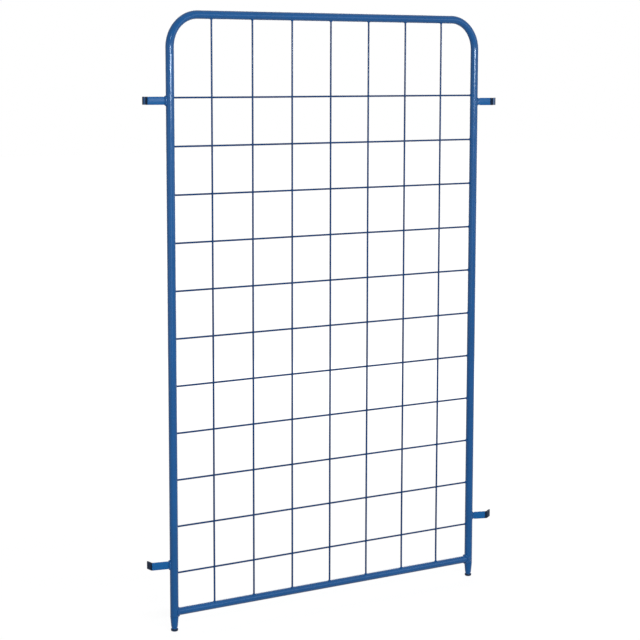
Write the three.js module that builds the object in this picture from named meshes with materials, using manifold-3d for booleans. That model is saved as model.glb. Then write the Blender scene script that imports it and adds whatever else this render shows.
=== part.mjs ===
// Wire mesh panel: a bent round tube frame with a welded wire grid, four flat bar brackets and two feet.
// Millimetres, +Z up. X runs along the panel, +Y is its back. The origin is midway between the lowest
// points of the two feet, in the plane of the grid.

import * as THREE from 'three';
import { mergeVertices } from 'three/addons/utils/BufferGeometryUtils.js';
import Module from 'manifold-3d';

// Frame: one tube bent into an upside-down U, and a straight bottom rail between its legs.
const frameWidth = 1195; // between the centre lines of the legs
const frameHeight = 1880; // from the centre line of the rail to that of the top run
const cornerRadius = 100; // centre line of the two top bends
const tubeDiameter = 26.9;
const tubeWall = 1.5;
const railDiameter = 25;
const railWall = 1.5;
const legStub = 14; // leg below the centre line of the rail

// Grid: straight round wires, the upright ones in front of the level ones.
const wirePitch = 150;
const wireDiameter = 6;
const topMargin = 254; // from the centre line of the top run to the highest level wire
const leastMargin = 90; // least space between the centre lines of the last wire and a leg or the rail

// Brackets: flat bar welded to the legs. Angles are counted from straight outward toward the back.
const barHeight = 25;
const barThickness = 5;
const barBendRadius = 3; // inside of the bend
const barCornerLength = 8; // chamfer at the welded end, along the bar
const barCornerDepth = 5; // chamfer at the welded end, across the bar
const upperHookDrop = 263; // upper left bracket below the centre line of the top run
const upperLapDrop = 275; // upper right bracket below the centre line of the top run
const lowerBracketRise = 155; // above the centre line of the rail
const hookReach = 73; // left pair: leg centre line to the corner of the bend
const hookTipLength = 28;
const hookAngle = 13;
const hookTipAngle = 90;
const lapReach = 66; // right pair: leg centre line to the corner of the bend
const lapTipLength = 34;
const lapAngle = -20;
const lapTipAngle = 34;

// Feet: a turned spigot in the end of each leg, with a neck and a rounded bead.
const footDrop = 48; // end of the leg above the lowest point
const shankLength = 40; // part of the foot inside the leg
const neckDiameter = 18.5;
const neckHeight = 12.5; // centre of the neck above the lowest point
const neckLength = 3.5;
const taperEndDiameter = 21;
const beadDiameter = 23;
const beadRadius = 4.5; // rounding of the edges of the bead

const clearance = 0.3; // between pieces that touch
const tubeSides = 24;
const wireSides = 12;
const cutterSides = 48;
const bendSteps = 12;
const barBendSteps = 6;
const beadSteps = 5;
const paintBlue = 0x265e9e;

const legX = frameWidth / 2;
const railZ = footDrop + legStub;
const topZ = railZ + frameHeight;
const topRunHalf = legX - cornerRadius;
const bendStartZ = topZ - cornerRadius;
const wireOffset = (wireDiameter + clearance) / 2;

const wasm = await Module();
wasm.setup();

function toSolid(geometry) {
  const bare = geometry.clone();
  bare.deleteAttribute('normal');
  bare.deleteAttribute('uv');
  const merged = mergeVertices(bare, 1e-3);
  const vertProperties = new Float32Array(merged.attributes.position.array);
  const triVerts = new Uint32Array(merged.index.array);
  return new wasm.Manifold(new wasm.Mesh({ numProp: 3, vertProperties, triVerts }));
}

function toGeometry(solid) {
  const mesh = solid.getMesh();
  const geometry = new THREE.BufferGeometry();
  geometry.setAttribute('position', new THREE.BufferAttribute(mesh.vertProperties, 3));
  geometry.setIndex(new THREE.BufferAttribute(mesh.triVerts, 1));
  geometry.computeVertexNormals();
  return geometry;
}

function paintedMesh(name, geometry) {
  const material = new THREE.MeshStandardMaterial({ color: paintBlue, roughness: 0.3, metalness: 0 });
  const mesh = new THREE.Mesh(geometry, material);
  mesh.name = name;
  return mesh;
}

function circlePoints(radius, sides) {
  return Array.from({ length: sides }, (_, index) => {
    const angle = (2 * Math.PI * index) / sides;
    return new THREE.Vector2(radius * Math.cos(angle), radius * Math.sin(angle));
  });
}

// A round section, hollow where it has a wall.
function roundSection(diameter, sides, wall = 0) {
  const section = new THREE.Shape(circlePoints(diameter / 2, sides));
  if (wall > 0) {
    section.holes.push(new THREE.Path(circlePoints(diameter / 2 - wall, sides)));
  }
  return section;
}

// A path given by stations, each a point with the direction of the tube there.
class StationPath extends THREE.Curve {
  constructor(stations) {
    super();
    this.stations = stations;
  }

  station(t) {
    return this.stations[Math.round(t * (this.stations.length - 1))];
  }

  getUtoTmapping(u) {
    return u;
  }

  getPoint(t, target = new THREE.Vector3()) {
    return target.copy(this.station(t).point);
  }

  getTangent(t, target = new THREE.Vector3()) {
    return target.copy(this.station(t).direction);
  }
}

// Stations of one top bend, from angle `from` to angle `to` around its centre, in the XZ plane.
function bendStations(centreX, from, to) {
  return Array.from({ length: bendSteps + 1 }, (_, index) => {
    const angle = from + ((to - from) * index) / bendSteps;
    const radial = new THREE.Vector3(Math.cos(angle), 0, Math.sin(angle));
    return {
      point: new THREE.Vector3(centreX, 0, bendStartZ).addScaledVector(radial, cornerRadius),
      direction: new THREE.Vector3(Math.sin(angle), 0, -Math.cos(angle)),
    };
  });
}

function framePath() {
  const up = new THREE.Vector3(0, 0, 1);
  return new StationPath([
    { point: new THREE.Vector3(-legX, 0, footDrop), direction: up },
    ...bendStations(-topRunHalf, Math.PI, Math.PI / 2),
    ...bendStations(topRunHalf, Math.PI / 2, 0),
    { point: new THREE.Vector3(legX, 0, footDrop), direction: up.clone().negate() },
  ]);
}

function frameGeometry(section) {
  const extrudePath = framePath();
  const steps = extrudePath.stations.length - 1;
  return new THREE.ExtrudeGeometry(section, { extrudePath, steps });
}

// A straight bar of one section between two points.
function straightGeometry(section, start, end) {
  const direction = end.clone().sub(start);
  const geometry = new THREE.ExtrudeGeometry(section, { depth: direction.length(), bevelEnabled: false });
  const turn = new THREE.Quaternion().setFromUnitVectors(new THREE.Vector3(0, 0, 1), direction.normalize());
  return geometry.applyQuaternion(turn).translate(start.x, start.y, start.z);
}

// Space that the frame and the rail take up, with the clearance around them.
const frameEnvelope = toSolid(frameGeometry(roundSection(tubeDiameter + 2 * clearance, cutterSides)));

function railBetweenLegs(section) {
  return straightGeometry(section, new THREE.Vector3(-legX, 0, railZ), new THREE.Vector3(legX, 0, railZ));
}

const railEnvelope = toSolid(railBetweenLegs(roundSection(railDiameter + 2 * clearance, cutterSides)));

function bottomRail() {
  const rail = toSolid(railBetweenLegs(roundSection(railDiameter, tubeSides, railWall)));
  return paintedMesh('bottom_rail', toGeometry(rail.subtract(frameEnvelope)));
}

// Centre line of the frame above a place on X, and beside a height on Z.
function frameZAt(x) {
  const past = Math.max(0, Math.abs(x) - topRunHalf);
  return bendStartZ + Math.sqrt(cornerRadius ** 2 - past ** 2);
}

function frameXAt(z) {
  const past = Math.max(0, z - bendStartZ);
  return topRunHalf + Math.sqrt(cornerRadius ** 2 - past ** 2);
}

function wire(name, start, end) {
  const bar = toSolid(straightGeometry(roundSection(wireDiameter, wireSides), start, end));
  return paintedMesh(name, toGeometry(bar.subtract(frameEnvelope).subtract(railEnvelope)));
}

function uprightWires() {
  const wiresBesideMiddle = Math.floor((legX - leastMargin) / wirePitch);
  return Array.from({ length: 2 * wiresBesideMiddle + 1 }, (_, index) => {
    const x = (index - wiresBesideMiddle) * wirePitch;
    const start = new THREE.Vector3(x, -wireOffset, railZ);
    const end = new THREE.Vector3(x, -wireOffset, frameZAt(x));
    return wire(`vertical_wire_${index + 1}`, start, end);
  });
}

function levelWires() {
  const highestZ = topZ - topMargin;
  const wiresBelow = Math.floor((highestZ - railZ - leastMargin) / wirePitch);
  return Array.from({ length: wiresBelow + 1 }, (_, index) => {
    const z = highestZ - index * wirePitch;
    const start = new THREE.Vector3(-frameXAt(z), wireOffset, z);
    const end = new THREE.Vector3(frameXAt(z), wireOffset, z);
    return wire(`horizontal_wire_${String(index + 1).padStart(2, '0')}`, start, end);
  });
}

function towards(angle) {
  return new THREE.Vector2(Math.cos(angle), Math.sin(angle));
}

// One face of the bent bar in plan, offset sideways from its middle line, from the leg to the tip.
function barFacePoints(form, offset) {
  const from = THREE.MathUtils.degToRad(form.angle);
  const to = THREE.MathUtils.degToRad(form.tipAngle);
  const middleRadius = barBendRadius + barThickness / 2;
  const corner = towards(from).multiplyScalar(form.reach);
  const setback = middleRadius * Math.tan((to - from) / 2);
  const side = (angle) => towards(angle + Math.PI / 2);
  const bendCentre = corner.clone().addScaledVector(towards(from), -setback)
    .addScaledVector(side(from), middleRadius);
  const bend = Array.from({ length: barBendSteps + 1 }, (_, index) => {
    const angle = from + ((to - from) * index) / barBendSteps;
    return bendCentre.clone().addScaledVector(side(angle), offset - middleRadius);
  });
  const root = side(from).multiplyScalar(offset);
  const tip = corner.clone().addScaledVector(towards(to), form.tipLength).addScaledVector(side(to), offset);
  return [root, ...bend, tip];
}

function barPlan(form) {
  const half = barThickness / 2;
  return new THREE.Shape([...barFacePoints(form, -half), ...barFacePoints(form, half).reverse()]);
}

// The bar seen from the front, with its corners cut back where it is welded to the leg.
function barElevation(form) {
  const half = barHeight / 2;
  const cutStart = tubeDiameter / 2;
  const cutEnd = cutStart + barCornerLength;
  const past = form.reach + form.tipLength;
  return new THREE.Shape([
    new THREE.Vector2(0, half - barCornerDepth),
    new THREE.Vector2(cutStart, half - barCornerDepth),
    new THREE.Vector2(cutEnd, half),
    new THREE.Vector2(past, half),
    new THREE.Vector2(past, -half),
    new THREE.Vector2(cutEnd, -half),
    new THREE.Vector2(cutStart, barCornerDepth - half),
    new THREE.Vector2(0, barCornerDepth - half),
  ]);
}

// A bracket that reaches out of a leg: `outward` is -1 on the left leg and 1 on the right one.
function bracket(name, form, outward, z) {
  const past = form.reach + form.tipLength;
  const plan = new THREE.ExtrudeGeometry(barPlan(form), { depth: barHeight, bevelEnabled: false });
  plan.translate(0, 0, -barHeight / 2);
  const elevation = new THREE.ExtrudeGeometry(barElevation(form), { depth: 2 * past, bevelEnabled: false });
  elevation.rotateX(Math.PI / 2).translate(0, past, 0);
  const bar = toSolid(plan).intersect(toSolid(elevation));
  const turned = outward < 0 ? bar.mirror([1, 0, 0]) : bar;
  const placed = turned.translate([outward * legX, 0, z]);
  return paintedMesh(name, toGeometry(placed.subtract(frameEnvelope)));
}

function brackets() {
  const hook = { reach: hookReach, tipLength: hookTipLength, angle: hookAngle, tipAngle: hookTipAngle };
  const lap = { reach: lapReach, tipLength: lapTipLength, angle: lapAngle, tipAngle: lapTipAngle };
  const lowerZ = railZ + lowerBracketRise;
  return [
    bracket('upper_left_bracket', hook, -1, topZ - upperHookDrop),
    bracket('lower_left_bracket', hook, -1, lowerZ),
    bracket('upper_right_bracket', lap, 1, topZ - upperLapDrop),
    bracket('lower_right_bracket', lap, 1, lowerZ),
  ];
}

// Points of a quarter round of the bead, around a centre, from one angle to another.
function roundedEdge(centre, from, to) {
  return Array.from({ length: beadSteps + 1 }, (_, index) => {
    const angle = from + ((to - from) * index) / beadSteps;
    return centre.clone().addScaledVector(towards(angle), beadRadius);
  });
}

// Profile of a foot from its lowest point up, as radius and height.
function footProfile() {
  const neckTop = neckHeight + neckLength / 2;
  const beadCentreRadius = beadDiameter / 2 - beadRadius;
  const neckAngle = Math.acos((neckDiameter / 2 - beadCentreRadius) / beadRadius);
  const upperCentreHeight = neckHeight - neckLength / 2 - beadRadius * Math.sin(neckAngle);
  const shoulder = footDrop - clearance;
  const shankRadius = tubeDiameter / 2 - tubeWall - 2 * clearance;
  return [
    new THREE.Vector2(0, 0),
    ...roundedEdge(new THREE.Vector2(beadCentreRadius, beadRadius), -Math.PI / 2, 0),
    ...roundedEdge(new THREE.Vector2(beadCentreRadius, upperCentreHeight), 0, neckAngle),
    new THREE.Vector2(neckDiameter / 2, neckTop),
    new THREE.Vector2(taperEndDiameter / 2, neckTop),
    new THREE.Vector2(tubeDiameter / 2, shoulder),
    new THREE.Vector2(shankRadius, shoulder),
    new THREE.Vector2(shankRadius, shoulder + shankLength),
    new THREE.Vector2(0, shoulder + shankLength),
  ];
}

function foot(name, x) {
  const turned = new THREE.LatheGeometry(footProfile(), tubeSides).rotateX(Math.PI / 2);
  const mesh = paintedMesh(name, toGeometry(toSolid(turned)));
  mesh.position.set(x, 0, 0);
  return mesh;
}

function panel() {
  const group = new THREE.Group();
  group.add(paintedMesh('bent_frame_tube', frameGeometry(roundSection(tubeDiameter, tubeSides, tubeWall))));
  group.add(bottomRail());
  group.add(...uprightWires());
  group.add(...levelWires());
  group.add(...brackets());
  group.add(foot('left_foot_spigot', -legX));
  group.add(foot('right_foot_spigot', legX));
  return group;
}

export default panel();
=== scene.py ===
"""Dresses a wire mesh panel: tube frame, welded wire grid, side brackets and feet, in blue powder coat.

Metres, +Z up, +Y is the back of the panel. The origin is midway between the lowest points of the feet.
"""

import logging
import math
from dataclasses import dataclass, field
from enum import Enum
from typing import Callable, Optional, Sequence

import bmesh
import bpy
from mathutils import Matrix, Vector, noise


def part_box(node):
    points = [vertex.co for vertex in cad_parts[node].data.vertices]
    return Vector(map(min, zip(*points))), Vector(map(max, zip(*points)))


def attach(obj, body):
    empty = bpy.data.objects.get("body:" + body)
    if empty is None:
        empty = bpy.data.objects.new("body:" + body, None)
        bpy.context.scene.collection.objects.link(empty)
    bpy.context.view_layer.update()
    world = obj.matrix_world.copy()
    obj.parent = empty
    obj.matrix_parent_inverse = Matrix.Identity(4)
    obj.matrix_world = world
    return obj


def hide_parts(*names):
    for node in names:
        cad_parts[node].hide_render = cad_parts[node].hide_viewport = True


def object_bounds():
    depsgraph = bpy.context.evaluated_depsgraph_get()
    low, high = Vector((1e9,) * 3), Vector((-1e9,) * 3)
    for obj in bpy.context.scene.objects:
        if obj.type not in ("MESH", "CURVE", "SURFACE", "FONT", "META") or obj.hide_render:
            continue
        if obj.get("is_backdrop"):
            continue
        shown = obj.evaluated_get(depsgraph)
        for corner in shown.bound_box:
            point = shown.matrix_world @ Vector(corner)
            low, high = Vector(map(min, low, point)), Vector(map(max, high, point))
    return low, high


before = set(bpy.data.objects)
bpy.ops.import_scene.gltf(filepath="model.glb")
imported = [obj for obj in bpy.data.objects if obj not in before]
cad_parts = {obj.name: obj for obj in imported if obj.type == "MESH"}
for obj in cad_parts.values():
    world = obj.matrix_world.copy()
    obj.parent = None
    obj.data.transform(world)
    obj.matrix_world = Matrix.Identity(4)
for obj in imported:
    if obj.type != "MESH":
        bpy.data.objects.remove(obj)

CAD_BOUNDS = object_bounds()
BODY = "root"
# vertex mark that paints dark steel: rubbed coat on bracket edges, and painted shade on bracket bends, tip
# ends, lower tips and foot beads
WEAR_AND_SHADE_ATTRIBUTE = "edge_wear"
SHARP_ANGLE = math.radians(38)
UP = Vector((0, 0, 1))
BACK = Vector((0, 1, 0))
RIGHT = Vector((1, 0, 0))

log = logging.getLogger("wire_mesh_panel")

Ring = list[Vector]
Colour = tuple[float, float, float]


class Slot(Enum):
    """Material slots of the record."""

    FRAME = "frame_paint"
    WIRE = "wire_paint"
    BRACKET = "bracket_paint"
    FOOT = "foot_paint"


class Side(Enum):
    """Which leg a piece belongs to, as a sign on X."""

    LEFT = -1
    RIGHT = 1


class Level(Enum):
    """Which of the two brackets of a leg a piece belongs to."""

    UPPER = "upper"
    LOWER = "lower"


# ---------------------------------------------------------------- finishes

# sockets of the mix node for its factor, its two colours and the mixed one
MIX_INPUTS = (0, 6, 7)
MIX_OUTPUT = 2


@dataclass(frozen=True)
class Grain:
    """A noise pattern, and the part of its range that is used.

    Attributes:
        scale: Features per metre.
        detail: Layers of finer noise.
        low: Value of the noise that counts as none.
        high: Value of the noise that counts as full.
        roughness: How strong the finer layers are.
    """

    scale: float
    detail: float
    low: float = 0.35
    high: float = 0.65
    roughness: float = 0.5


class NodeBench:
    """A node tree with short calls to add and link nodes."""

    def __init__(self, tree: bpy.types.NodeTree) -> None:
        """Takes a node tree and empties it."""
        self.tree = tree
        tree.nodes.clear()

    def add(self, kind: str, settings: Optional[dict] = None, **sockets: object) -> bpy.types.Node:
        """Adds a node and sets or links its inputs.

        Args:
            kind: Blender's name for the node.
            settings: Properties of the node by name.
            **sockets: Inputs by name, with _ for a blank; a socket is linked and a value is set.

        Returns:
            The new node.
        """
        node = self.tree.nodes.new(kind)
        for name, value in (settings or {}).items():
            setattr(node, name, value)
        for name, value in sockets.items():
            self.feed(node.inputs[name.replace("_", " ")], value)
        return node

    def feed(self, socket: bpy.types.NodeSocket, value: object) -> None:
        """Links a socket to another one, or sets its value.

        Args:
            socket: The input to feed.
            value: An output socket, a number or a colour.
        """
        if isinstance(value, bpy.types.NodeSocket):
            self.tree.links.new(value, socket)
        else:
            socket.default_value = value

    def fill(self, node: bpy.types.Node, *values: object) -> bpy.types.NodeSocket:
        """Feeds the first inputs of a node in their order.

        Args:
            node: The node.
            *values: A socket, a number or a colour for each input.

        Returns:
            The first output of the node.
        """
        for socket, value in zip(node.inputs, values):
            self.feed(socket, value)
        return node.outputs[0]

    def math(self, operation: str, first: object, second: object) -> bpy.types.NodeSocket:
        """Works out a sum or the like of two sockets or numbers, clamped to 0 and 1."""
        node = self.add("ShaderNodeMath", {"operation": operation, "use_clamp": True})
        return self.fill(node, first, second)

    def blend(self, factor: object, first: object, second: object) -> bpy.types.NodeSocket:
        """Mixes two colours.

        Args:
            factor: A socket or a number, 0 for the first colour.
            first: A socket or a colour.
            second: A socket or a colour.

        Returns:
            The mixed colour.
        """
        node = self.add("ShaderNodeMix", {"data_type": "RGBA"})
        for index, value in zip(MIX_INPUTS, (factor, first, second)):
            self.feed(node.inputs[index], value)
        return node.outputs[MIX_OUTPUT]

    def either(self, factor: object, first: object, second: object) -> bpy.types.NodeSocket:
        """Mixes two shaders, all of the first where the factor is 0."""
        return self.fill(self.add("ShaderNodeMixShader"), factor, first, second)

    def spread(
        self, value: object, low: float, high: float, to_low: float, to_high: float
    ) -> bpy.types.NodeSocket:
        """Maps a range of a value onto another range, clamped.

        Args:
            value: The socket to map.
            low: Start of the range that is read.
            high: End of the range that is read.
            to_low: What the start becomes.
            to_high: What the end becomes.

        Returns:
            The mapped value.
        """
        return self.fill(self.add("ShaderNodeMapRange"), value, low, high, to_low, to_high)

    def texture(self, place: object, grain: Grain) -> bpy.types.NodeSocket:
        """Adds a noise texture that is read at some coordinates, around 0.5."""
        sockets = {"Scale": grain.scale, "Detail": grain.detail, "Roughness": grain.roughness}
        return self.add("ShaderNodeTexNoise", Vector=place, **sockets).outputs["Fac"]

    def pattern(self, place: object, grain: Grain, to_low: float, to_high: float) -> bpy.types.NodeSocket:
        """Adds a noise texture and spreads the used part of its range.

        Args:
            place: The coordinates to read it at.
            grain: The noise.
            to_low: Value where there is none of the pattern.
            to_high: Value where the pattern is full.

        Returns:
            The spread noise.
        """
        return self.spread(self.texture(place, grain), grain.low, grain.high, to_low, to_high)


COAT_IOR = 1.5
PAINT_CLOUDS = Grain(5.5, 3.0)
PAINT_SPECKS = Grain(900.0, 2.0, 0.55, 0.75)
SPECK_STRENGTH = 0.35
SPECK_BRIGHTNESS = 1.25

# the roughness wanders by these, below and above its own value
GLOSS_CLOUDS = Grain(48.0, 4.0, 0.3, 0.7)
SMOOTHER = 0.025
ROUGHER = 0.03
# what full rubbing with its painted shade, dust or scuffs would add to it
DULLING = 0.35

# a mark and its patches together start to show dark steel at WEAR_AND_SHADE_FROM, as rubbed coat and as
# painted shade
WEAR_AND_SHADE_PATCHES = Grain(160.0, 5.0, roughness=0.65)
PATCH_STRENGTH = 0.4
WEAR_AND_SHADE_FROM = 0.80
# share of the paint that the dark steel of rubbed coat and painted shade hides
BARE_AND_SHADE_SHARE = 0.9

# dust starts and is full at these shares of Z in the normal
DUST_SLOPE = (0.45, 0.95)
DUST_CLOUDS = Grain(26.0, 4.0)
DUST_LEAST = 0.3
DUST_COLOUR = (0.42, 0.43, 0.44)

# scratches are nine times as long along Z as across
SCRATCHES = Grain(60.0, 6.0, 0.60, 0.70, 0.7)
SCRATCH_STRETCH = (9.0, 9.0, 1.0)
SCRATCHED_AREAS = Grain(4.0, 2.0, 0.48, 0.62)
SCUFF_DEPTH = 0.2

PEEL_DETAIL = 2.0
PEEL_STRENGTH = 0.9


def opaque(colour: Colour) -> tuple[float, float, float, float]:
    """A linear colour with full alpha."""
    return (*colour, 1.0)


@dataclass(frozen=True)
class PowderCoat:
    """Baked blue powder coat over steel, with orange peel, faint scuffs, dust, edges rubbed thinner, and
    shade painted as dark steel where a piece marks it.

    Attributes:
        name: Name of the material.
        colour: The paint, linear.
        deep: The paint where the coat lies thicker, linear.
        worn_and_shade: Dark steel that shows where the coat is rubbed off and that is painted as shade
            where a piece marks it, linear.
        roughness: Roughness of the paint.
        gloss: Strength of its reflections, 0.5 for plain lacquer.
        sheen: Tint of its reflections seen straight on, linear.
        peel_height: Height of the orange peel in metres.
        peel_scale: Orange peel bumps per metre.
        scuffing: How much of the surface is lightly scuffed, 0 to 1.
        grime: How much dust lies on the upper sides, 0 to 1.
    """

    name: str
    colour: Colour
    deep: Colour
    worn_and_shade: Colour = (0.005, 0.006, 0.012)
    roughness: float = 0.13
    gloss: float = 0.30
    sheen: Colour = (0.72, 0.86, 1.0)
    peel_height: float = 0.000004
    peel_scale: float = 380.0
    scuffing: float = 0.35
    grime: float = 0.04

    def material(self) -> bpy.types.Material:
        """Builds the node material.

        Returns:
            The material.
        """
        made = bpy.data.materials.new(self.name)
        made.use_nodes = True
        bench = NodeBench(made.node_tree)
        place = bench.add("ShaderNodeTexCoord").outputs["Object"]
        wear_and_shade = self._wear_and_shade(bench, place)
        dust = self._dust(bench, place)
        scuffs = self._scuffs(bench, place)
        coat = bench.add(
            "ShaderNodeBsdfPrincipled",
            Base_Color=self._paint(bench, place, wear_and_shade, dust),
            Roughness=self._gloss(bench, place, wear_and_shade, dust, scuffs),
            Normal=self._relief(bench, place, scuffs),
        )
        coat.inputs["IOR"].default_value = COAT_IOR
        coat.inputs["Specular IOR Level"].default_value = self.gloss
        coat.inputs["Specular Tint"].default_value = opaque(self.sheen)
        bench.add("ShaderNodeOutputMaterial", Surface=coat.outputs[0])
        return made

    def _wear_and_shade(self, bench: NodeBench, place: bpy.types.NodeSocket) -> bpy.types.NodeSocket:
        """Where the coat is rubbed off and where shade is painted as dark steel: whole where the mark is
        full, in patches where it is weaker.

        Args:
            bench: The node tree of the material.
            place: The coordinates of the piece.

        Returns:
            The rubbed coat with the painted shade, 0 to 1.
        """
        marked = bench.add("ShaderNodeAttribute", {"attribute_name": WEAR_AND_SHADE_ATTRIBUTE}).outputs["Fac"]
        patches = bench.pattern(place, WEAR_AND_SHADE_PATCHES, 0.0, PATCH_STRENGTH)
        return bench.spread(bench.math("ADD", marked, patches), WEAR_AND_SHADE_FROM, 1.0, 0.0, 1.0)

    def _dust(self, bench: NodeBench, place: bpy.types.NodeSocket) -> bpy.types.NodeSocket:
        """Dust on what faces up, in soft clouds.

        Args:
            bench: The node tree of the material.
            place: The coordinates of the piece.

        Returns:
            The dust, 0 to 1.
        """
        normal = bench.add("ShaderNodeNewGeometry").outputs["Normal"]
        upward = bench.add("ShaderNodeSeparateXYZ", Vector=normal).outputs["Z"]
        facing = bench.spread(upward, *DUST_SLOPE, 0.0, self.grime)
        return bench.math("MULTIPLY", facing, bench.pattern(place, DUST_CLOUDS, DUST_LEAST, 1.0))

    def _scuffs(self, bench: NodeBench, place: bpy.types.NodeSocket) -> bpy.types.NodeSocket:
        """Fine scratches, which run up and down and lie in patches.

        Args:
            bench: The node tree of the material.
            place: The coordinates of the piece.

        Returns:
            The scratches, 0 to 1.
        """
        stretched = bench.add("ShaderNodeMapping", Vector=place, Scale=SCRATCH_STRETCH).outputs[0]
        lines = bench.pattern(stretched, SCRATCHES, 0.0, self.scuffing)
        where = bench.pattern(place, SCRATCHED_AREAS, 0.0, 1.0)
        return bench.math("MULTIPLY", lines, where)

    def _paint(self, bench: NodeBench, place: object, wear_and_shade: object, dust: object) -> bpy.types.NodeSocket:
        """Colour of the paint, a little uneven, with edges rubbed thinner, painted shade and dust laid over
        it.

        Args:
            bench: The node tree of the material.
            place: The coordinates of the piece.
            wear_and_shade: Where the coat is rubbed off, and where shade is painted.
            dust: Where dust lies.

        Returns:
            The colour.
        """
        clouds = bench.pattern(place, PAINT_CLOUDS, 0.0, 1.0)
        specks = bench.pattern(place, PAINT_SPECKS, 0.0, SPECK_STRENGTH)
        bright = tuple(SPECK_BRIGHTNESS * part for part in self.colour)
        uneven = bench.blend(clouds, opaque(self.deep), opaque(self.colour))
        lively = bench.blend(specks, uneven, opaque(bright))
        # dark steel laid over the paint, as rubbed coat and as painted shade
        thinned_and_shaded = bench.blend(bench.math("MULTIPLY", wear_and_shade, BARE_AND_SHADE_SHARE), lively, opaque(self.worn_and_shade))
        return bench.blend(dust, thinned_and_shaded, opaque(DUST_COLOUR))

    def _gloss(self, bench: NodeBench, place: object, *dulled_by: object) -> bpy.types.NodeSocket:
        """Roughness of the paint, dulled by rubbed coat and painted shade, dust and scuffs.

        Args:
            bench: The node tree of the material.
            place: The coordinates of the piece.
            *dulled_by: Marks that make the coat duller.

        Returns:
            The roughness.
        """
        total = bench.pattern(place, GLOSS_CLOUDS, self.roughness - SMOOTHER, self.roughness + ROUGHER)
        for mark in dulled_by:
            total = bench.math("ADD", total, bench.math("MULTIPLY", mark, DULLING))
        return total

    def _relief(self, bench: NodeBench, place: object, scuffs: object) -> bpy.types.NodeSocket:
        """Orange peel of the baked coat with the scuffs cut into it.

        Args:
            bench: The node tree of the material.
            place: The coordinates of the piece.
            scuffs: Where the coat is scratched.

        Returns:
            The normal.
        """
        peel = bench.texture(place, Grain(self.peel_scale, PEEL_DETAIL))
        height = bench.math("SUBTRACT", peel, bench.math("MULTIPLY", scuffs, SCUFF_DEPTH))
        bump = bench.add("ShaderNodeBump", Strength=PEEL_STRENGTH, Distance=self.peel_height, Height=height)
        return bump.outputs[0]


@dataclass(frozen=True)
class Finishes:
    """The materials of the panel, one for each slot and one for the weld metal under the same coat."""

    tube: bpy.types.Material
    wire: bpy.types.Material
    bar: bpy.types.Material
    foot: bpy.types.Material
    weld: bpy.types.Material

    @classmethod
    def baked(cls) -> "Finishes":
        """Builds all the materials.

        Returns:
            The materials.
        """
        blue = (0.004, 0.096, 0.312)
        deep = (0.003, 0.082, 0.272)
        wire_blue = (0.005, 0.050, 0.180)
        wire_deep = (0.004, 0.039, 0.145)
        # the bracket bars take the frame blue made lighter: a painted sheen for the light their flat faces
        # catch
        bar_blue_painted_sheen = (0.014, 0.125, 0.365)
        bar_deep_painted_sheen = (0.009, 0.105, 0.320)
        tube = PowderCoat("tube_powder_coat", blue, deep)
        wire = PowderCoat("wire_powder_coat", wire_blue, wire_deep, roughness=0.16, gloss=0.14)
        bar = PowderCoat("bar_powder_coat", bar_blue_painted_sheen, bar_deep_painted_sheen, roughness=0.24, gloss=0.10, scuffing=0.4)
        foot = PowderCoat("foot_powder_coat", blue, deep, roughness=0.26, scuffing=0.9)
        weld = PowderCoat("weld_powder_coat", blue, deep, peel_height=0.00012, peel_scale=240.0)
        return cls(*(coat.material() for coat in (tube, wire, bar, foot, weld)))


# ---------------------------------------------------------------- mesh making


def circle(centre: Vector, across: Vector, lift: Vector, radius: float, sides: int) -> Ring:
    """Points of a circle.

    Args:
        centre: Its centre.
        across: First unit direction in its plane.
        lift: Second unit direction in its plane.
        radius: Its radius.
        sides: How many points.

    Returns:
        The points in order.
    """
    turns = (2 * math.pi * index / sides for index in range(sides))
    return [centre + radius * (math.cos(turn) * across + math.sin(turn) * lift) for turn in turns]


def arc_steps(start: float, end: float, steps: int) -> list[float]:
    """Evenly spaced values from start to end.

    Args:
        start: First value.
        end: Last value.
        steps: How many steps lie between them.

    Returns:
        steps + 1 values.
    """
    return [start + (end - start) * index / steps for index in range(steps + 1)]


def loft(
    rings: Sequence[Ring], looped: bool = False, wear_and_shade: Optional[Callable[[int, int], float]] = None
) -> bmesh.types.BMesh:
    """Joins rings of points into one closed skin.

    Args:
        rings: The rings in order, each with as many points as the others.
        looped: Whether the last ring joins the first instead of both being capped.
        wear_and_shade: How far a point is rubbed, with any painted shade, 0 to 1, from the index of its
            ring and its place in it.

    Returns:
        The mesh.
    """
    mesh = bmesh.new()
    layer = mesh.verts.layers.float.new(WEAR_AND_SHADE_ATTRIBUTE)
    rows = []
    for row, ring in enumerate(rings):
        points = [mesh.verts.new(point) for point in ring]
        for column, point in enumerate(points):
            point[layer] = wear_and_shade(row, column) if wear_and_shade else 0.0
        rows.append(points)
    following = rows[1:] + rows[:1] if looped else rows[1:]
    for row, after in zip(rows, following):
        for column in range(len(row)):
            mesh.faces.new((row[column - 1], row[column], after[column], after[column - 1]))
    if not looped:
        mesh.faces.new(rows[0])
        mesh.faces.new(list(reversed(rows[-1])))
    return mesh


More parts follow.
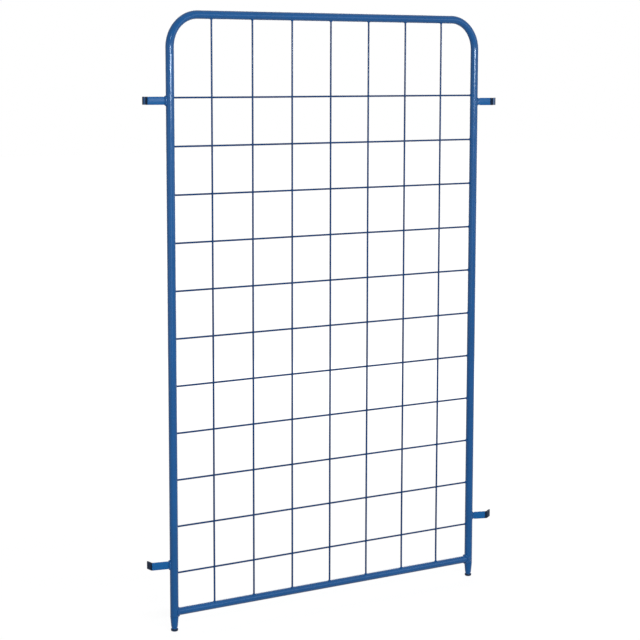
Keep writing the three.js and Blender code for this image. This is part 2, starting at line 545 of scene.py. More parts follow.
@dataclass
class Workshop:
    """Turns meshes into finished pieces that ride on the panel.

    Attributes:
        finishes: The materials of the panel.
        made: Names of the pieces made so far.
    """

    finishes: Finishes
    made: list[str] = field(default_factory=list)

    def piece(
        self,
        name: str,
        mesh: bmesh.types.BMesh,
        finish: bpy.types.Material,
        slot: Slot,
        stands_for: Sequence[str] = (),
    ) -> None:
        """Makes a mesh a piece of the object.

        Args:
            name: Name of the piece.
            mesh: Its skin, which is used up.
            finish: Its material.
            slot: The slot of the record that it belongs to; not used.
            stands_for: The nodes of the solid model that it replaces.
        """
        bmesh.ops.recalc_face_normals(mesh, faces=mesh.faces)
        for edge in mesh.edges:
            edge.smooth = edge.calc_face_angle(0.0) < SHARP_ANGLE
        data = bpy.data.meshes.new(name)
        mesh.to_mesh(data)
        mesh.free()
        data.polygons.foreach_set("use_smooth", [True] * len(data.polygons))
        data.materials.append(finish)
        made = bpy.data.objects.new(name, data)
        bpy.context.scene.collection.objects.link(made)
        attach(made, BODY)
        if stands_for:
            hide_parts(*stands_for)
        self.made.append(name)
        log.info("%s: %d faces for %s", name, len(data.polygons), ", ".join(stands_for) or "a detail")


@dataclass(frozen=True)
class PanelSizes:
    """Sizes that several sub-assemblies share, read from the solid model.

    Attributes:
        leg_x: Centre line of the right leg.
        leg_end_z: Lower end of the legs.
        rail_z: Centre line of the bottom rail.
        top_z: Centre line of the top run.
        tube_radius: Outside radius of the frame tube.
        rail_radius: Outside radius of the rail.
        corner_radius: Centre line of the two top bends.
    """

    leg_x: float
    leg_end_z: float
    rail_z: float
    top_z: float
    tube_radius: float
    rail_radius: float
    corner_radius: float = 0.100

    @classmethod
    def measured(cls) -> "PanelSizes":
        """Reads the sizes off the boxes of the solid nodes.

        Returns:
            The sizes.
        """
        frame_low, frame_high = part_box("bent_frame_tube")
        rail_low, rail_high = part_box("bottom_rail")
        tube_radius = (frame_high[1] - frame_low[1]) / 2
        return cls(
            leg_x=frame_high[0] - tube_radius,
            leg_end_z=frame_low[2],
            rail_z=(rail_low[2] + rail_high[2]) / 2,
            top_z=frame_high[2] - tube_radius,
            tube_radius=tube_radius,
            rail_radius=(rail_high[2] - rail_low[2]) / 2,
        )

    def face(self, offset: float) -> float:
        """How far the face of the frame tube lies from its centre line, at an offset to one side."""
        return math.sqrt(max(0.0, self.tube_radius ** 2 - offset ** 2))


def node_names(start: str) -> list[str]:
    """Names of the solid nodes that start with some letters, in order."""
    return sorted(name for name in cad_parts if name.startswith(start))


# ---------------------------------------------------------------- welds

# a path with more than this share of Z in its direction takes BACK to find its sides
STEEP = 0.9


@dataclass(frozen=True)
class WeldBead:
    """A hand-laid weld bead along a path, with ripples.

    Attributes:
        radius: Half of the width of the bead.
        ripple: Height of the ripples as a share of the radius.
        pitch: Length of one ripple.
        unevenness: Share of the radius by which the bead swells and thins.
        unevenness_scale: How fast it does so along the path, per metre.
        sides: Points around the bead.
        seed: Seed of its unevenness.
    """

    radius: float
    ripple: float = 0.10
    pitch: float = 0.0024
    unevenness: float = 0.12
    unevenness_scale: float = 110.0
    sides: int = 14
    seed: float = 0.0

    def skin(self, path: Sequence[Vector]) -> bmesh.types.BMesh:
        """Lays the bead along a path that closes on itself.

        Args:
            path: Points along the root of the weld.

        Returns:
            The mesh.
        """
        rings = []
        travelled = 0.0
        for index, point in enumerate(path):
            along = (path[(index + 1) % len(path)] - path[index - 1]).normalized()
            across = along.cross(UP if abs(along.z) < STEEP else BACK).normalized()
            travelled += (point - path[index - 1]).length if index else 0.0
            half_width = self._half_width(point, travelled)
            rings.append(circle(point, across, along.cross(across), half_width, self.sides))
        return loft(rings, looped=True)

    def _half_width(self, point: Vector, travelled: float) -> float:
        """Half width of the bead at a point, with its ripples and a slow unevenness.

        Args:
            point: The point.
            travelled: Length of the bead up to it.

        Returns:
            The half width.
        """
        ripples = self.ripple * abs(math.sin(math.pi * travelled / self.pitch))
        slow = self.unevenness * noise.noise(point * self.unevenness_scale + self.seed * RIGHT)
        return self.radius * (1 - self.ripple / 2 + ripples + slow)


@dataclass(frozen=True)
class WeldBlob:
    """A small lump of weld metal, flattened along one direction and a little uneven.

    Attributes:
        half_sizes: Half sizes along X, Y and Z.
        unevenness: Share of the size by which its surface wanders.
        lumps: How fast it wanders over the blob.
        variety: How fast the unevenness changes from blob to blob, per metre.
        fineness: How often the faces of the ball are split.
    """

    half_sizes: tuple[float, float, float]
    unevenness: float = 0.16
    lumps: float = 1.7
    variety: float = 900.0
    fineness: int = 2

    def drop(self, mesh: bmesh.types.BMesh, centre: Vector) -> None:
        """Adds one blob to a mesh.

        Args:
            mesh: The mesh to add it to.
            centre: Where it lies.
        """
        ball = bmesh.ops.create_icosphere(mesh, subdivisions=self.fineness, radius=1.0)["verts"]
        for point in ball:
            swell = 1 + self.unevenness * noise.noise(point.co * self.lumps + centre * self.variety)
            point.co = centre + Vector(half * part * swell for half, part in zip(self.half_sizes, point.co))


# ---------------------------------------------------------------- sub-assemblies


@dataclass
class TubeFrame:
    """The round tube that is bent into an upside-down U.

    Attributes:
        shop: Where pieces are finished.
        sizes: Sizes of the panel.
        wall: Wall of the tube.
        mouth: Depth to which the inside of the tube is made at its ends.
        lip: Rounding of the cut ends.
        sides: Points around the tube.
        bend_steps: Rings along one bend.
        bend_flattening: Share by which the tube is pressed flatter at the middle of a bend.
    """

    shop: Workshop
    sizes: PanelSizes
    wall: float = 0.0015
    mouth: float = 0.012
    lip: float = 0.0004
    sides: int = 56
    bend_steps: int = 36
    bend_flattening: float = 0.035

    def build(self) -> None:
        """Makes the frame tube."""
        skin = loft(self._rings())
        self.shop.piece("frame_tube", skin, self.shop.finishes.tube, Slot.FRAME, ["bent_frame_tube"])

    def _rings(self) -> list[Ring]:
        """Rings from inside one leg's mouth, over its lip, round the whole frame and into the other mouth.

        Returns:
            The rings.
        """
        left = self._mouth(Side.LEFT) + self._bend(Side.LEFT)
        right = self._mouth(Side.RIGHT) + self._bend(Side.RIGHT)
        return left + right[::-1]

    def _mouth(self, side: Side) -> list[Ring]:
        """Rings of the cut end of a leg, from inside it to just outside its rounded lip.

        Args:
            side: The leg.

        Returns:
            The rings.
        """
        outer = self.sizes.tube_radius
        inner = outer - self.wall
        end = self.sizes.leg_end_z
        profile = [
            (inner, end + self.mouth),
            (inner, end + self.lip),
            (inner + self.lip, end),
            (outer - self.lip, end),
            (outer, end + self.lip),
            (outer, end + self.mouth),
        ]
        outward = side.value * RIGHT
        leg = self.sizes.leg_x * outward
        return [self._ring(leg + z * UP, outward, radius, 0.0) for radius, z in profile]

    def _bend(self, side: Side) -> list[Ring]:
        """Rings round one top bend, from the leg to the top run.

        Args:
            side: The leg that it belongs to.

        Returns:
            The rings.
        """
        sizes = self.sizes
        bend = sizes.corner_radius
        centre = side.value * (sizes.leg_x - bend) * RIGHT + (sizes.top_z - bend) * UP
        rings = []
        for angle in arc_steps(0.0, math.pi / 2, self.bend_steps):
            outward = Vector((side.value * math.cos(angle), 0, math.sin(angle)))
            flattening = self.bend_flattening * math.sin(2 * angle) ** 2
            rings.append(self._ring(centre + bend * outward, outward, sizes.tube_radius, flattening))
        return rings

    def _ring(self, centre: Vector, outward: Vector, radius: float, flattening: float) -> Ring:
        """One ring of the tube, whose points start at the outside of the bend."""
        points = circle(Vector(), outward, BACK, radius, self.sides)
        return [centre + point - flattening * point.dot(outward) * outward for point in points]


@dataclass
class BottomRail:
    """The straight tube between the legs, coped to them and welded on.

    Attributes:
        shop: Where pieces are finished.
        sizes: Sizes of the panel.
        bite: How far the coped end reaches into the wall of the leg.
        sides: Points around the tube.
        bead_radius: Half width of the weld at each leg, left then right.
        bead_reach: Share of the rail's radius that the weld line follows, under 1 to round its kinks.
        bead_points: Points along one weld.
    """

    shop: Workshop
    sizes: PanelSizes
    bite: float = 0.0004
    sides: int = 56
    bead_radius: tuple[float, float] = (0.0042, 0.0055)
    bead_reach: float = 0.93
    bead_points: int = 120

    def build(self) -> None:
        """Makes the rail and its two welds."""
        rings = [self._coped_ring(Side.LEFT), self._coped_ring(Side.RIGHT)]
        self.shop.piece("rail_tube", loft(rings), self.shop.finishes.tube, Slot.FRAME, ["bottom_rail"])
        for side, radius in zip(Side, self.bead_radius):
            bead = WeldBead(radius, seed=side.value).skin(self._saddle(side))
            name = f"rail_weld_{side.name.lower()}"
            self.shop.piece(name, bead, self.shop.finishes.weld, Slot.FRAME)

    def _coped_ring(self, side: Side) -> Ring:
        """End of the rail, cut to the curve of the leg."""
        return self._end_line(side, self.sides, 1.0, self.bite)

    def _saddle(self, side: Side) -> Ring:
        """Line where the rail meets the leg."""
        return self._end_line(side, self.bead_points, self.bead_reach, 0.0)

    def _end_line(self, side: Side, count: int, share: float, bite: float) -> Ring:
        """Points round the rail, each moved out to the face of the leg.

        Args:
            side: The leg.
            count: How many points.
            share: Share of a point's distance from the middle at which the curve of the leg is read.
            bite: How far they reach into the wall of the leg.

        Returns:
            The points in order.
        """
        ring = circle(self.sizes.rail_z * UP, BACK, UP, self.sizes.rail_radius, count)
        for point in ring:
            point.x = side.value * (self.sizes.leg_x - self.sizes.face(share * point.y) + bite)
        return ring


# where the straying of the grid is read in the noise
WANDER_SLICE = 3.0
RIPPLE_SLICE = 9.0


@dataclass
class WireGrid:
    """The welded grid of straight drawn wires, with the weld metal at its crossings and ends.

    Attributes:
        shop: Where pieces are finished.
        sizes: Sizes of the panel.
        sides: Points around a wire.
        step: Length between two rings of a wire.
        wander: How far the grid strays from its plane.
        wander_scale: How fast it does so, per metre.
        ripple: How far a wire strays sideways from straight.
        ripple_scale: How fast it does so, per metre.
        bite: How far a wire reaches into the wall of a tube.
        crossing: Weld metal at a crossing.
        upright_end: Weld metal at the end of an upright wire.
        level_end: Weld metal at the end of a level wire.
    """

    shop: Workshop
    sizes: PanelSizes
    sides: int = 20
    step: float = 0.025
    wander: float = 0.0012
    wander_scale: float = 1.6
    ripple: float = 0.0005
    ripple_scale: float = 3.1
    bite: float = 0.0006
    crossing: WeldBlob = WeldBlob((0.0036, 0.0030, 0.0036))
    upright_end: WeldBlob = WeldBlob((0.0050, 0.0050, 0.0030))
    level_end: WeldBlob = WeldBlob((0.0030, 0.0050, 0.0050))

    def build(self) -> None:
        """Makes the wires and their weld metal."""
        uprights = node_names("vertical_wire_")
        levels = node_names("horizontal_wire_")
        for name in uprights:
            self._wire(name, name.replace("vertical", "upright"), UP)
        for name in levels:
            self._wire(name, name.replace("horizontal", "level"), RIGHT)
        self._crossings(uprights, levels)
        self._ends(uprights, levels)

    def _middle(self, node: str) -> Vector:
        """Centre of a solid wire."""
        low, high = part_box(node)
        return (Vector(low) + Vector(high)) / 2

    def _stray(self, point: Vector) -> Vector:
        """How far the grid strays from true at a point, the same for every wire that passes it.

        Args:
            point: The point, if the grid were true.

        Returns:
            The shift.
        """
        wide, fine = self.wander_scale, self.ripple_scale
        slow = noise.noise(Vector((point.x * wide, WANDER_SLICE, point.z * wide)))
        sideways = noise.noise_vector(Vector((point.x * fine, RIPPLE_SLICE, point.z * fine)))
        return Vector((self.ripple * sideways.x, self.wander * slow, self.ripple * sideways.z))

    def _wire(self, node: str, name: str, along: Vector) -> None:
        """Makes one wire, run a little into the tubes at its ends.

        Args:
            node: Name of the solid wire.
            name: Name of the piece.
            along: Its direction.
        """
        middle = self._middle(node)
        low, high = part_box(node)
        radius = (high[1] - low[1]) / 2
        lift = along.cross(BACK)
        reach = self._reach(middle, along)
        count = math.ceil(2 * reach / self.step)
        rings = []
        for offset in arc_steps(-reach, reach, count):
            point = middle + offset * along
            held = min(1.0, (reach - abs(offset)) / self.step)
            rings.append(circle(point + held * self._stray(point), BACK, lift, radius, self.sides))
        self.shop.piece(name, loft(rings), self.shop.finishes.wire, Slot.WIRE, [node])

    def _reach(self, middle: Vector, along: Vector) -> float:
        """Half length of a wire that ends just inside the wall of the tubes.

        Args:
            middle: Its centre.
            along: Its direction.

        Returns:
            The half length.
        """
        between = (self.sizes.top_z - self.sizes.rail_z) / 2 if along.z else self.sizes.leg_x
        return between - self.sizes.face(middle.y) + self.bite

    def _crossings(self, uprights: Sequence[str], levels: Sequence[str]) -> None:
        """Makes the weld metal between the wires at every crossing.

        Args:
            uprights: Names of the upright solid wires.
            levels: Names of the level ones.
        """
        mesh = bmesh.new()
        columns = [self._middle(node).x for node in uprights]
        heights = [self._middle(node).z for node in levels]
        for x in columns:
            for z in heights:
                point = Vector((x, 0, z))
                self.crossing.drop(mesh, point + self._stray(point))
        self.shop.piece("crossing_welds", mesh, self.shop.finishes.weld, Slot.WIRE)

    def _ends(self, uprights: Sequence[str], levels: Sequence[str]) -> None:
        """Makes the weld metal where the wires meet the tubes.

        Args:
            uprights: Names of the upright solid wires.
            levels: Names of the level ones.
        """
        sizes = self.sizes
        mesh = bmesh.new()
        for node in uprights:
            middle = self._middle(node)
            face = sizes.face(middle.y)
            for z in (sizes.rail_z + face, sizes.top_z - face):
                self.upright_end.drop(mesh, Vector((middle.x, middle.y, z)))
        for node in levels:
            middle = self._middle(node)
            for side in Side:
                x = side.value * (sizes.leg_x - sizes.face(middle.y))
                self.level_end.drop(mesh, Vector((x, middle.y, middle.z)))
        self.shop.piece("wire_end_welds", mesh, self.shop.finishes.weld, Slot.WIRE)


@dataclass(frozen=True)
class RubAndPaintedShade:
    """How far the coat of a bracket is rubbed off along its edges, and how much painted shade lies as dark
    steel on its bend and tip, from 0 to 1 for bare.

    Attributes:
        tip: Painted shade on the flat of the tip.
        approach: How many rings of the bar before the bend take its painted shade.
        bend: Painted shade round the bend.
        bend_from: Share of the bend that stays without painted shade, where the bar before it does too.
        end: Painted shade at the end of the tip.
        end_rings: How many rings of the flat of the tip belong to its end.
        edges: Along the edges of the bend and the tip.
    """

    tip: float
    approach: int
    bend: float = 1.0
    bend_from: float = 0.35
    end: float = 1.0
    end_rings: int = 4
    edges: float = 0.62


@dataclass(frozen=True)
class BarForm:
    """How a flat bar bracket is bent. Angles are counted from straight outward toward the back.

    Attributes:
        reach: Centre line of the leg to the corner of the bend.
        tip: Corner of the bend to the end of the tip.
        angle: Direction of the bar at the leg.
        tip_angle: Direction of the tip.
        corner_depth: Depth of the chamfers at the welded end that the weld leaves open.
        bead_radius: Half width of the weld.
        bead_rise: How far the weld runs above and below the middle of the bar.
    """

    reach: float
    tip: float
    angle: float
    tip_angle: float
    corner_depth: float
    bead_radius: float
    bead_rise: float


HOOK = BarForm(
    reach=0.073,
    tip=0.028,
    angle=math.radians(13),
    tip_angle=math.radians(90),
    corner_depth=0.0022,
    bead_radius=0.0050,
    bead_rise=0.0112,
)
LAP = BarForm(
    reach=0.066,
    tip=0.034,
    angle=math.radians(-20),
    tip_angle=math.radians(34),
    corner_depth=0.0040,
    bead_radius=0.0042,
    bead_rise=0.0095,
)
BAR_FORMS = {Side.LEFT: HOOK, Side.RIGHT: LAP}
# painted shade: a dark band just before the bend of the right brackets, and dark tips on the lower ones
PAINTED_SHADE_BEFORE_BEND = {Side.LEFT: 0, Side.RIGHT: 1}
PAINTED_SHADE_ON_TIP = {Level.UPPER: 0.0, Level.LOWER: 1.0}
# rings of a bar that are narrowed by its chamfers
NARROW_RINGS = 2


@dataclass
class Bracket:
    """A flat bar bracket, bent at its tip and welded to the outside of a leg.

    Attributes:
        shop: Where pieces are finished.
        sizes: Sizes of the panel.
        name: Name of the solid node.
        side: The leg that it is welded to.
        form: How it is bent.
        rub_and_shade: Where its coat is rubbed off along edges, and where shade is painted on its bend and
            tip.
        height: Height of the bar.
        thickness: Thickness of the bar.
        bend_radius: Inside radius of the bend.
        bar_steps: Rings along the bar before the bend.
        bend_steps: Rings along the bend.
        tip_steps: Rings along the flat of the tip.
        corner_length: Length of the chamfer at the welded end.
        edge: Rounding of the long edges.
        edge_steps: Points along one rounded edge, less one.
        bite: How far the bar reaches into the wall of the leg.
        weld_points: Points along the weld.
        weld_roundness: Power of the superellipse that the weld follows, 1 for an ellipse.
    """

    shop: Workshop
    sizes: PanelSizes
    name: str
    side: Side
    form: BarForm
    rub_and_shade: RubAndPaintedShade
    height: float = 0.025
    thickness: float = 0.005
    bend_radius: float = 0.003
    bar_steps: int = 12
    bend_steps: int = 14
    tip_steps: int = 9
    corner_length: float = 0.008
    edge: float = 0.0011
    edge_steps: int = 4
    bite: float = 0.001
    weld_points: int = 72
    weld_roundness: float = 0.5

    def build(self) -> None:
        """Makes the bar and the weld round its end."""
        bar = loft(self._rings(), wear_and_shade=self._wear_and_shade)
        self.shop.piece(f"{self.name}_bar", bar, self.shop.finishes.bar, Slot.BRACKET, [self.name])
        weld = WeldBead(self.form.bead_radius, seed=len(self.name)).skin(self._weld_line())
        self.shop.piece(f"{self.name}_weld", weld, self.shop.finishes.weld, Slot.BRACKET)

    @property
    def _root(self) -> Vector:
        """Point on the centre line of the leg, at the height of the bar."""
        low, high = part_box(self.name)
        return Vector((self.side.value * self.sizes.leg_x, 0, (low[2] + high[2]) / 2))

    def _direction(self, angle: float) -> Vector:
        """Direction in plan for an angle counted from straight outward toward the back."""
        return Vector((self.side.value * math.cos(angle), math.sin(angle), 0))

    def _rings(self) -> list[Ring]:
        """Rings from inside the wall of the leg to the rounded end of the tip.

        Returns:
            The rings.
        """
        form = self.form
        half = self.height / 2
        wall = self.sizes.tube_radius
        middle = self.bend_radius + self.thickness / 2
        setback = middle * math.tan((form.tip_angle - form.angle) / 2)
        out = self._direction(form.angle)
        narrow = half - form.corner_depth
        straight = arc_steps(wall + self.corner_length, form.reach - setback, self.bar_steps)
        stations = [(wall - self.bite, narrow), (wall + self.edge, narrow)]
        stations += [(along, half) for along in straight[:-1]]
        rings = [self._ring(self._root + along * out, form.angle, high) for along, high in stations]
        corner = self._root + form.reach * out
        pivot = corner - setback * out + middle * self._direction(form.angle + math.pi / 2)
        for angle in arc_steps(form.angle, form.tip_angle, self.bend_steps):
            rings.append(self._ring(pivot - middle * self._direction(angle + math.pi / 2), angle, half))
        tip = self._direction(form.tip_angle)
        for along in arc_steps(setback, form.tip - self.edge, self.tip_steps)[1:]:
            rings.append(self._ring(corner + along * tip, form.tip_angle, half))
        for turn in arc_steps(0.0, math.pi / 2, self.edge_steps)[1:]:
            inset = self.edge * (1 - math.cos(turn))
            end = corner + (form.tip - self.edge * (1 - math.sin(turn))) * tip
            rings.append(self._ring(end, form.tip_angle, half - inset, inset))
        return rings

    def _ring(self, centre: Vector, angle: float, half_height: float, inset: float = 0.0) -> Ring:
        """A rounded rectangle across the bar.

        Args:
            centre: Its centre.
            angle: Direction of the bar there.
            half_height: Half of its height.
            inset: How much its thickness is taken in on each side.

        Returns:
            Its points in order.
        """
        sideways = self._direction(angle + math.pi / 2)
        half_thickness = self.thickness / 2 - inset
        rounding = self.edge - inset / 2
        ring = []
        for quarter in range(4):
            corner_side = 1 if quarter in (0, 3) else -1
            corner_lift = 1 if quarter in (0, 1) else -1
            for turn in arc_steps(quarter * math.pi / 2, (quarter + 1) * math.pi / 2, self.edge_steps):
                across = corner_side * (half_thickness - rounding) + rounding * math.cos(turn)
                lift = corner_lift * (half_height - rounding) + rounding * math.sin(turn)
                ring.append(centre + across * sideways + lift * UP)
        return ring

    def _wear_and_shade(self, ring: int, column: int) -> float:
        """How far the coat is rubbed off at a point of the bar, with the painted shade of its bend and tip.

        Args:
            ring: Index of its ring.
            column: Its place in the ring.

        Returns:
            The rubbed coat with the painted shade, 0 to 1.
        """
        rub_and_shade = self.rub_and_shade
        bend_start = NARROW_RINGS + self.bar_steps
        tip_start = bend_start + self.bend_steps + 1
        end_start = tip_start + self.tip_steps - rub_and_shade.end_rings
        on_edge = column % (self.edge_steps + 1) not in (0, self.edge_steps)
        edges = rub_and_shade.edges if on_edge else 0.0
        if ring < bend_start:
            return rub_and_shade.bend if ring >= bend_start - rub_and_shade.approach else 0.0
        if ring < tip_start:
            through = (ring - bend_start) / self.bend_steps
            return max(edges, rub_and_shade.bend if rub_and_shade.approach or through > rub_and_shade.bend_from else 0.0)
        if ring == tip_start:
            return max(edges, rub_and_shade.bend)
        return max(edges, rub_and_shade.tip if ring < end_start else rub_and_shade.end)

    def _weld_line(self) -> list[Vector]:
        """Line round the end of the bar on the wall of the leg, a superellipse.

        Returns:
            Its points in order.
        """
        power = self.weld_roundness
        out = self._direction(self.form.angle)
        sideways = self._direction(self.form.angle + math.pi / 2)
        line = []
        for turn in arc_steps(0.0, 2 * math.pi, self.weld_points)[:-1]:
            cosine, sine = math.cos(turn), math.sin(turn)
            across = self.thickness / 2 * math.copysign(abs(cosine) ** power, cosine)
            lift = self.form.bead_rise * math.copysign(abs(sine) ** power, sine)
            line.append(self._root + self.sizes.face(across) * out + across * sideways + lift * UP)
        return line


@dataclass
class FootSpigot:
    """The turned foot under a leg: a taper, a neck and a rounded bead.

    Attributes:
        shop: Where pieces are finished.
        sizes: Sizes of the panel.
        name: Name of the solid node.
        side: The leg that it belongs to.
        seam: Gap under the end of the leg.
        chamfer: Small chamfer at the seam and at the end of the taper.
        shank_radius: Radius of the part inside the leg.
        shank_length: How much of that part is made.
        taper_end_radius: Radius at the lower end of the taper.
        neck_radius: Radius of the neck.
        neck_z: Height of the centre of the neck.
        neck_length: Length of the neck.
        bead_radius: Radius of the bead.
        bead_rounding: Rounding of the edges of the bead.
        bead_wear_and_shade: How far the coat is rubbed off round the bead, which also stands in as painted
            shade on it, from 0 to 1 for bare.
        sides: Points around the foot.
        rounding_steps: Rings along one rounded edge.
    """

    shop: Workshop
    sizes: PanelSizes
    name: str
    side: Side
    seam: float = 0.0003
    chamfer: float = 0.0005
    shank_radius: float = 0.0104
    shank_length: float = 0.010
    taper_end_radius: float = 0.0105
    neck_radius: float = 0.00925
    neck_z: float = 0.0125
    neck_length: float = 0.0035
    bead_radius: float = 0.0115
    bead_rounding: float = 0.0045
    bead_wear_and_shade: float = 0.88
    sides: int = 56
    rounding_steps: int = 10

    def build(self) -> None:
        """Makes the foot."""
        profile = self._profile()
        leg = self.side.value * self.sizes.leg_x * RIGHT
        rings = [circle(leg + z * UP, RIGHT, BACK, radius, self.sides) for radius, z in profile]
        widest = self.bead_radius - 2 * self.chamfer

        def wear_and_shade(ring: int, column: int) -> float:
            """The bead is rubbed where it is widest, and shade is painted on it there as dark steel."""
            radius, z = profile[ring]
            return self.bead_wear_and_shade if z < self.neck_z and radius > widest else 0.0

        skin = loft(rings, wear_and_shade=wear_and_shade)
        name = f"{self.side.name.lower()}_foot"
        self.shop.piece(name, skin, self.shop.finishes.foot, Slot.FOOT, [self.name])

    def _profile(self) -> list[tuple[float, float]]:
        """Radius and height of each ring, from the lowest point up into the leg.

        Returns:
            A pair for each ring.
        """
        rounding = self.bead_rounding
        centre_radius = self.bead_radius - rounding
        neck_angle = math.acos((self.neck_radius - centre_radius) / rounding)
        neck_low = self.neck_z - self.neck_length / 2
        neck_high = self.neck_z + self.neck_length / 2
        shoulder = self.sizes.leg_end_z - self.seam
        outer = self.sizes.tube_radius
        return [
            *self._rounded_edge(rounding, -math.pi / 2, 0.0),
            *self._rounded_edge(neck_low - rounding * math.sin(neck_angle), 0.0, neck_angle),
            (self.neck_radius, neck_high - self.chamfer),
            (self.neck_radius + self.chamfer, neck_high),
            (self.taper_end_radius - self.chamfer, neck_high),
            (self.taper_end_radius, neck_high + self.chamfer),
            (outer, shoulder - self.chamfer),
            (outer - self.chamfer, shoulder),
            (self.shank_radius, shoulder),
            (self.shank_radius, shoulder + self.shank_length),
        ]

    def _rounded_edge(self, centre_z: float, start: float, end: float) -> list[tuple[float, float]]:
        """Radius and height of the rings round one edge of the bead.

        Args:
            centre_z: Height of the centre of the rounding.
            start: Angle above that height at which the rounding starts.
            end: Angle above that height at which it ends.

        Returns:
            A pair for each ring.
        """
        rounding = self.bead_rounding
        inner = self.bead_radius - rounding
        turns = arc_steps(start, end, self.rounding_steps)
        return [(inner + rounding * math.cos(turn), centre_z + rounding * math.sin(turn)) for turn in turns]


# ---------------------------------------------------------------- studio

WHITE = opaque((1.0, 1.0, 1.0))


@dataclass(frozen=True)
class SoftLamp:
    """A rectangular soft lamp.

    Attributes:
        name: Name of the lamp.
        place: Where it stands.
        aim: What it points at.
        size: Its width and height.
        power: Its power in watts.
    """

    name: str
    place: tuple[float, float, float]
    aim: tuple[float, float, float]
    size: tuple[float, float]
    power: float

    def light(self) -> None:
        """Puts the lamp in the scene."""
        data = bpy.data.lights.new(self.name, "AREA")
        data.shape = "RECTANGLE"
        data.size, data.size_y = self.size
        data.energy = self.power
        lamp = bpy.data.objects.new(self.name, data)
        lamp.location = self.place
        lamp.rotation_euler = (Vector(self.aim) - Vector(self.place)).to_track_quat("-Z", "Y").to_euler()
        bpy.context.scene.collection.objects.link(lamp)


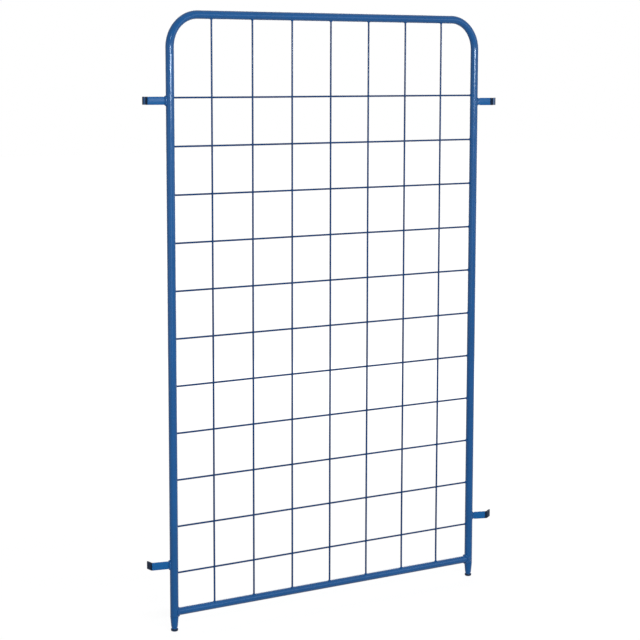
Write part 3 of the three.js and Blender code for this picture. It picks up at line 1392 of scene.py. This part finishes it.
@dataclass(frozen=True)
class Studio:
    """The pale floor, white surroundings, soft lamps and the camera.

    Attributes:
        camera_place: Where the camera stands.
        camera_azimuth: Turn of the view from straight along +Y toward +X, in degrees.
        camera_pitch: Tilt of the view above the horizon, in degrees.
        camera_roll: Turn of the camera about its view, in degrees.
        lens: Focal length in millimetres.
        film_width: Width of the film in millimetres.
        sight: How far the camera sees.
        floor_half: Half of the side of the floor.
        floor_grey: Colour of the floor under light.
        floor_near: How white the floor looks by itself round the panel.
        floor_far: How white the floor looks by itself far off.
        floor_blend: Distances from the panel between which the one turns into the other.
        ambient: Strength of the surroundings as a light on the object.
        lamps: The lamps.
    """

    camera_place: tuple[float, float, float] = (-3.5213, -5.0993, 1.7760)
    camera_azimuth: float = 34.333
    camera_pitch: float = -7.538
    camera_roll: float = 0.105
    lens: float = 106.65
    film_width: float = 36.0
    sight: float = 200.0
    floor_half: float = 30.0
    floor_grey: float = 0.22
    floor_near: float = 0.88
    floor_far: float = 1.0
    floor_blend: tuple[float, float] = (1.5, 7.0)
    ambient: float = 0.26
    lamps: tuple[SoftLamp, ...] = (
        SoftLamp("strip_lamp", (-1.2, -5.4, 1.88), (0.0, 0.0, 1.2), (3.4, 0.10), 116.0),
        SoftLamp("shelf_lamp", (-1.2, -5.4, 1.73), (0.0, 0.0, 1.2), (3.4, 0.18), 34.0),
        SoftLamp("key_lamp", (-2.9, -5.0, 3.4), (0.0, 0.0, 1.2), (1.2, 0.8), 42.0),
        SoftLamp("left_lamp", (-4.5, -0.8, 1.4), (0.0, 0.0, 1.1), (3.0, 2.6), 20.0),
        SoftLamp("right_lamp", (3.2, -4.8, 2.0), (0.0, 0.0, 1.4), (3.2, 2.6), 38.0),
        SoftLamp("low_lamp", (-3.0, -5.4, 0.9), (0.0, 0.0, 0.8), (4.0, 1.6), 26.0),
        SoftLamp("back_lamp", (2.8, 4.1, 2.2), (0.0, 0.0, 1.0), (5.0, 4.0), 110.0),
    )

    def build(self) -> None:
        """Sets up the whole studio."""
        self._camera()
        self._floor()
        self._surroundings()
        for lamp in self.lamps:
            lamp.light()
        bpy.context.scene.view_settings.view_transform = "Standard"

    def _camera(self) -> None:
        """The camera at the viewing angle of the photograph."""
        data = bpy.data.cameras.new("camera")
        data.sensor_width = self.film_width
        data.lens = self.lens
        data.clip_end = self.sight
        camera = bpy.data.objects.new("camera", data)
        turn = Matrix.Rotation(math.radians(-self.camera_azimuth), 4, "Z")
        tilt = Matrix.Rotation(math.radians(90 + self.camera_pitch), 4, "X")
        roll = Matrix.Rotation(math.radians(self.camera_roll), 4, "Z")
        camera.matrix_world = Matrix.Translation(self.camera_place) @ turn @ tilt @ roll
        bpy.context.scene.collection.objects.link(camera)
        bpy.context.scene.camera = camera

    def _seen(self, bench: NodeBench) -> bpy.types.NodeSocket:
        """1 for rays from the camera and for those that gloss reflects or glass lets through.

        Args:
            bench: The node tree to add to.

        Returns:
            1 or 0.
        """
        rays = bench.add("ShaderNodeLightPath").outputs
        seen = bench.math("ADD", rays["Is Camera Ray"], rays["Is Glossy Ray"])
        return bench.math("ADD", seen, rays["Is Transmission Ray"])

    def _floor_finish(self) -> bpy.types.Material:
        """A grey that takes the shadow, with a glow that only the eye and reflections see.

        Returns:
            The material.
        """
        material = bpy.data.materials.new("pale_floor")
        material.use_nodes = True
        bench = NodeBench(material.node_tree)
        pale = bench.add("ShaderNodeBsdfDiffuse", Color=opaque((self.floor_grey,) * 3)).outputs[0]
        place = bench.add("ShaderNodeNewGeometry").outputs["Position"]
        distance = bench.add("ShaderNodeVectorMath", {"operation": "LENGTH"}, Vector=place).outputs["Value"]
        level = bench.spread(distance, *self.floor_blend, self.floor_near, self.floor_far)
        glow = bench.add("ShaderNodeEmission", Strength=level).outputs[0]
        dark = bench.add("ShaderNodeEmission", Strength=0.0).outputs[0]
        shown = bench.either(self._seen(bench), dark, glow)
        both = bench.fill(bench.add("ShaderNodeAddShader"), pale, shown)
        bench.add("ShaderNodeOutputMaterial", Surface=both)
        return material

    def _floor(self) -> None:
        """A pale floor that keeps the shadow of the panel."""
        mesh = bmesh.new()
        bmesh.ops.create_grid(mesh, x_segments=1, y_segments=1, size=self.floor_half)
        data = bpy.data.meshes.new("floor")
        mesh.to_mesh(data)
        mesh.free()
        data.materials.append(self._floor_finish())
        floor = bpy.data.objects.new("floor", data)
        bpy.context.scene.collection.objects.link(floor)
        floor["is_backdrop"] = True

    def _surroundings(self) -> None:
        """White to the eye and in reflections, and a dim soft light on everything."""
        world = bpy.context.scene.world or bpy.data.worlds.new("surroundings")
        bpy.context.scene.world = world
        world.use_nodes = True
        bench = NodeBench(world.node_tree)
        white = bench.add("ShaderNodeBackground", Color=WHITE, Strength=1.0).outputs[0]
        dim = bench.add("ShaderNodeBackground", Color=WHITE, Strength=self.ambient).outputs[0]
        bench.add("ShaderNodeOutputWorld", Surface=bench.either(self._seen(bench), dim, white))


def write_sizes() -> None:
    """Works out the box of the solid model and that of the dressed one."""
    boxes = {"cad": CAD_BOUNDS, "visual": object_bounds()}
    plain = {name: [list(map(float, corner)) for corner in box] for name, box in boxes.items()}


def main() -> None:
    """Builds the studio and the panel."""
    logging.basicConfig(level=logging.INFO, format="%(name)s: %(message)s")
    Studio().build()
    shop = Workshop(Finishes.baked())
    sizes = PanelSizes.measured()
    TubeFrame(shop, sizes).build()
    BottomRail(shop, sizes).build()
    WireGrid(shop, sizes).build()
    for side in Side:
        for level in Level:
            node = f"{level.value}_{side.name.lower()}_bracket"
            # painted shade as dark steel on the bend and tip of each bracket, with rubbed coat on its edges
            rub_and_shade = RubAndPaintedShade(PAINTED_SHADE_ON_TIP[level], PAINTED_SHADE_BEFORE_BEND[side])
            Bracket(shop, sizes, node, side, BAR_FORMS[side], rub_and_shade).build()
        FootSpigot(shop, sizes, f"{side.name.lower()}_foot_spigot", side).build()
    write_sizes()
    log.info("%d pieces", len(shop.made))


if __name__ == "__main__":
    main()
